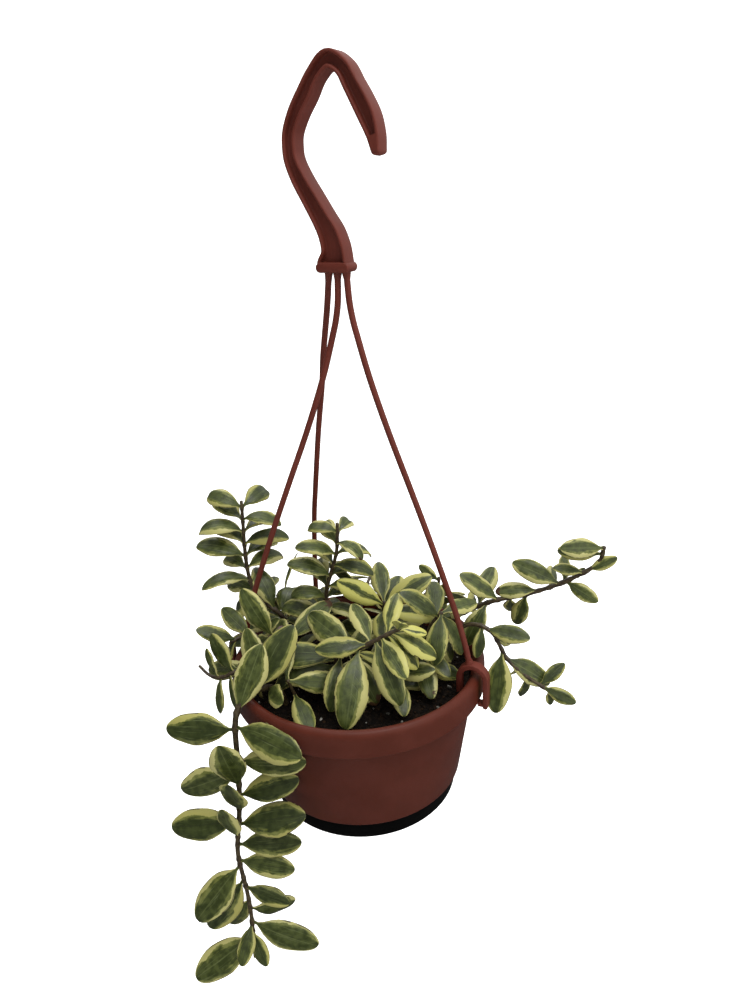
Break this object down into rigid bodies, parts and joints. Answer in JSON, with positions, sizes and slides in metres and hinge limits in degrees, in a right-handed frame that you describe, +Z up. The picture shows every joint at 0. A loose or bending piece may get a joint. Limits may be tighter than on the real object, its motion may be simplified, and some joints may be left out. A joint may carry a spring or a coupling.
{
  "type": "potted trailing plant in hanging pot",
  "caption": "Variegated trailing plant in a round plastic hanging pot with drip saucer, a hook and three arms that clip to the rim.",
  "frame": {"origin": "inside the top of the hook's bend, where it hangs on its rail", "axes": "+Z up; the arched stem at the front of the pot points to +X and the side that the picture shows faces -Y"},
  "size_m": [0.2624, 0.1713, 0.502],
  "materials": {
    "terracotta_plastic": "brown-red moulded plastic with a soft sheen",
    "black_plastic": "black moulded plastic",
    "soil": "dark damp peat mix",
    "foliage": "waxy leaves, grey-green with cream-yellow edges"
  },
  "bodies": {
    "root": {"pot": "terracotta_plastic", "drip_saucer": "black_plastic", "soil": "soil", "hanger": "terracotta_plastic", "stem_trailing_front": "foliage", "stem_upright_left": "foliage", "stem_upright_middle": "foliage", "stem_arching_front": "foliage", "stem_sprout_back_right": "foliage", "stem_long_right": "foliage", "stem_drooping_right": "foliage", "stem_inner_right": "foliage", "stem_short_front": "foliage", "stem_middle_right": "foliage", "stem_bare_tip_left": "foliage", "stem_left_inner": "foliage", "stem_low_left": "foliage", "stem_left_rim": "foliage", "stem_back_middle": "foliage", "stem_back_left": "foliage", "stem_back_right": "foliage"}
  },
  "joints": []
}
